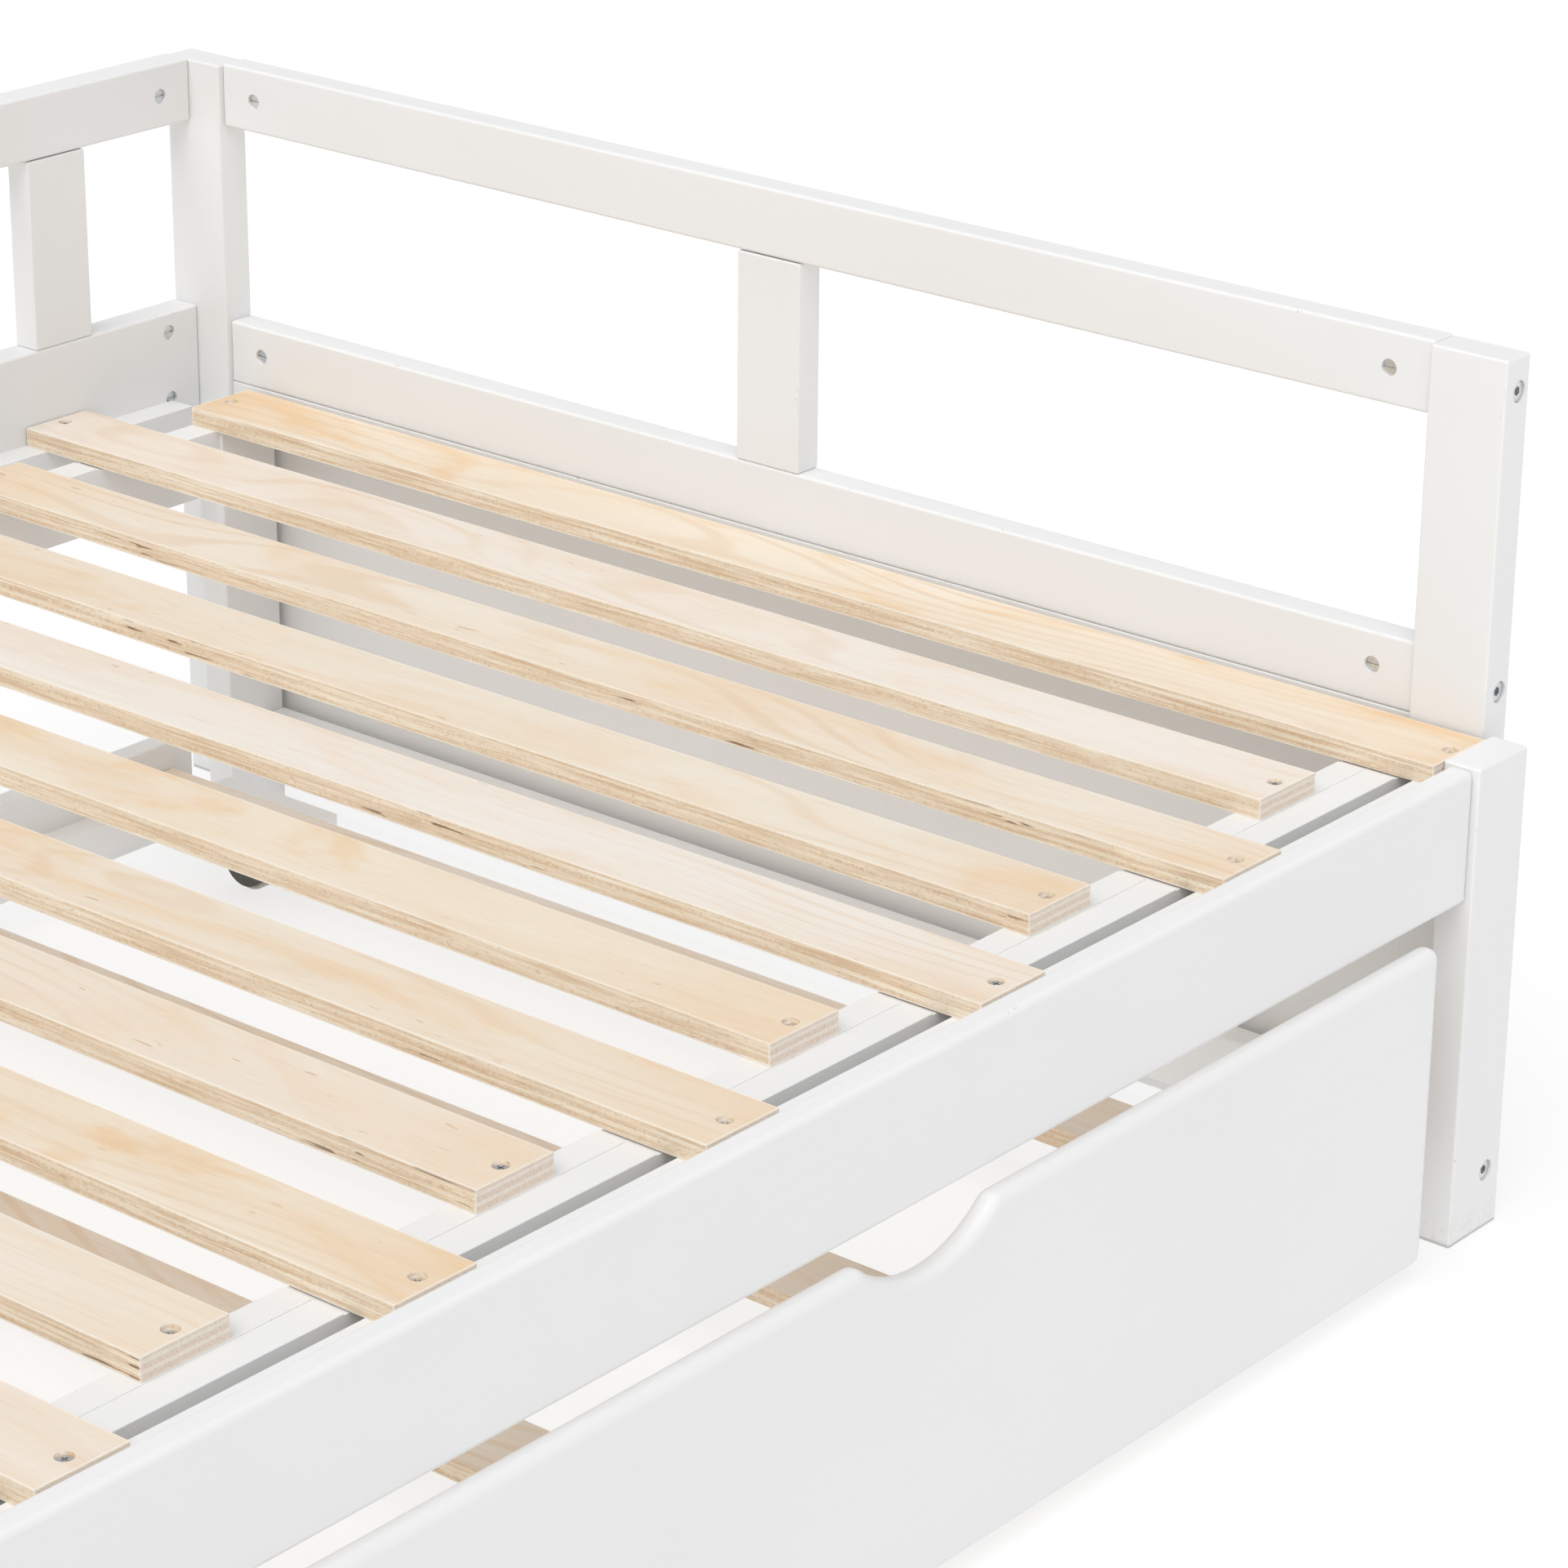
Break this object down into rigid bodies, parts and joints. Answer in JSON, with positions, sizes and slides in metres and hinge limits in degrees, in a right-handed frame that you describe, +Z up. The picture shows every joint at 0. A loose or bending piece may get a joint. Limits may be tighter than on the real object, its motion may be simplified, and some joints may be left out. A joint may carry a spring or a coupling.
{
  "type": "trundle bed",
  "caption": "White wooden daybed with open rail arms and back, an interleaved slat deck that pulls out to double width, and a low castor trundle beneath.",
  "frame": {"origin": "middle of the footprint, on the floor", "axes": "+Z up, +X to the right of someone facing the bed's open front, +Y from the open front to the back"},
  "size_m": [1.988, 1.0974, 0.519],
  "materials": {
    "painted_wood": "satin white paint",
    "plywood": "bare sanded birch plywood",
    "zinc_steel": "zinc plated",
    "castor_bracket_steel": "satin",
    "castor_wheel_plastic": "matte moulded"
  },
  "bodies": {
    "frame": {"arm_front_post_right": "painted_wood", "arm_back_post_right": "painted_wood", "arm_top_rail_right": "painted_wood", "arm_middle_rail_right": "painted_wood", "arm_baluster_right": "painted_wood", "side_panel_right": "painted_wood", "arm_front_post_left": "painted_wood", "arm_back_post_left": "painted_wood", "arm_top_rail_left": "painted_wood", "arm_middle_rail_left": "painted_wood", "arm_baluster_left": "painted_wood", "side_panel_left": "painted_wood", "back_top_rail": "painted_wood", "back_lower_rail": "painted_wood", "back_balusters": "painted_wood", "rear_ledger": "painted_wood", "cross_rail": "painted_wood", "cross_ledger": "painted_wood", "frame_slat_1": "plywood", "frame_slat_2": "plywood", "frame_slat_3": "plywood", "frame_slat_4": "plywood", "frame_slat_5": "plywood", "frame_slat_6": "plywood", "frame_slat_7": "plywood", "frame_slat_8": "plywood", "frame_slat_9": "plywood", "frame_fasteners": "zinc_steel"},
    "pullout": {"pull_front_post_right": "painted_wood", "pull_rear_leg_right": "painted_wood", "pull_stretcher_right": "painted_wood", "pull_front_post_left": "painted_wood", "pull_rear_leg_left": "painted_wood", "pull_stretcher_left": "painted_wood", "pull_front_rail": "painted_wood", "pull_front_ledger": "painted_wood", "pull_rear_bar": "painted_wood", "pull_slat_1": "plywood", "pull_slat_2": "plywood", "pull_slat_3": "plywood", "pull_slat_4": "plywood", "pull_slat_5": "plywood", "pull_slat_6": "plywood", "pull_slat_7": "plywood", "pull_slat_8": "plywood", "pull_slat_9": "plywood", "pull_slat_10": "plywood", "pull_fasteners": "zinc_steel"},
    "trundle": {"trundle_front_panel": "painted_wood", "trundle_ledgers": "painted_wood", "trundle_rear_board": "painted_wood", "castor_blocks": "painted_wood", "trundle_slats": "plywood", "castor_brackets": "castor_bracket_steel", "castor_axles": "zinc_steel"},
    "castor_wheel_front_right": {"castor_wheel_front_right": "castor_wheel_plastic"},
    "castor_wheel_back_right": {"castor_wheel_back_right": "castor_wheel_plastic"},
    "castor_wheel_front_left": {"castor_wheel_front_left": "castor_wheel_plastic"},
    "castor_wheel_back_left": {"castor_wheel_back_left": "castor_wheel_plastic"}
  },
  "joints": [
    {"name": "pullout_slide", "type": "slide", "parent": "frame", "child": "pullout", "axis": [0, -1, 0], "range_m": [0, 0.895]},
    {"name": "trundle_roll", "type": "slide", "parent": "frame", "child": "trundle", "axis": [0, -1, 0], "range_m": [0, 1]},
    {"name": "wheel_spin_front_right", "type": "hinge", "parent": "trundle", "child": "castor_wheel_front_right", "pos_m": [0.847, -0.4453, 0.021], "axis": [1, 0, 0], "continuous": true},
    {"name": "wheel_spin_back_right", "type": "hinge", "parent": "trundle", "child": "castor_wheel_back_right", "pos_m": [0.847, 0.3607, 0.021], "axis": [1, 0, 0], "continuous": true},
    {"name": "wheel_spin_front_left", "type": "hinge", "parent": "trundle", "child": "castor_wheel_front_left", "pos_m": [-0.847, -0.4453, 0.021], "axis": [1, 0, 0], "continuous": true},
    {"name": "wheel_spin_back_left", "type": "hinge", "parent": "trundle", "child": "castor_wheel_back_left", "pos_m": [-0.847, 0.3607, 0.021], "axis": [1, 0, 0], "continuous": true}
  ]
}
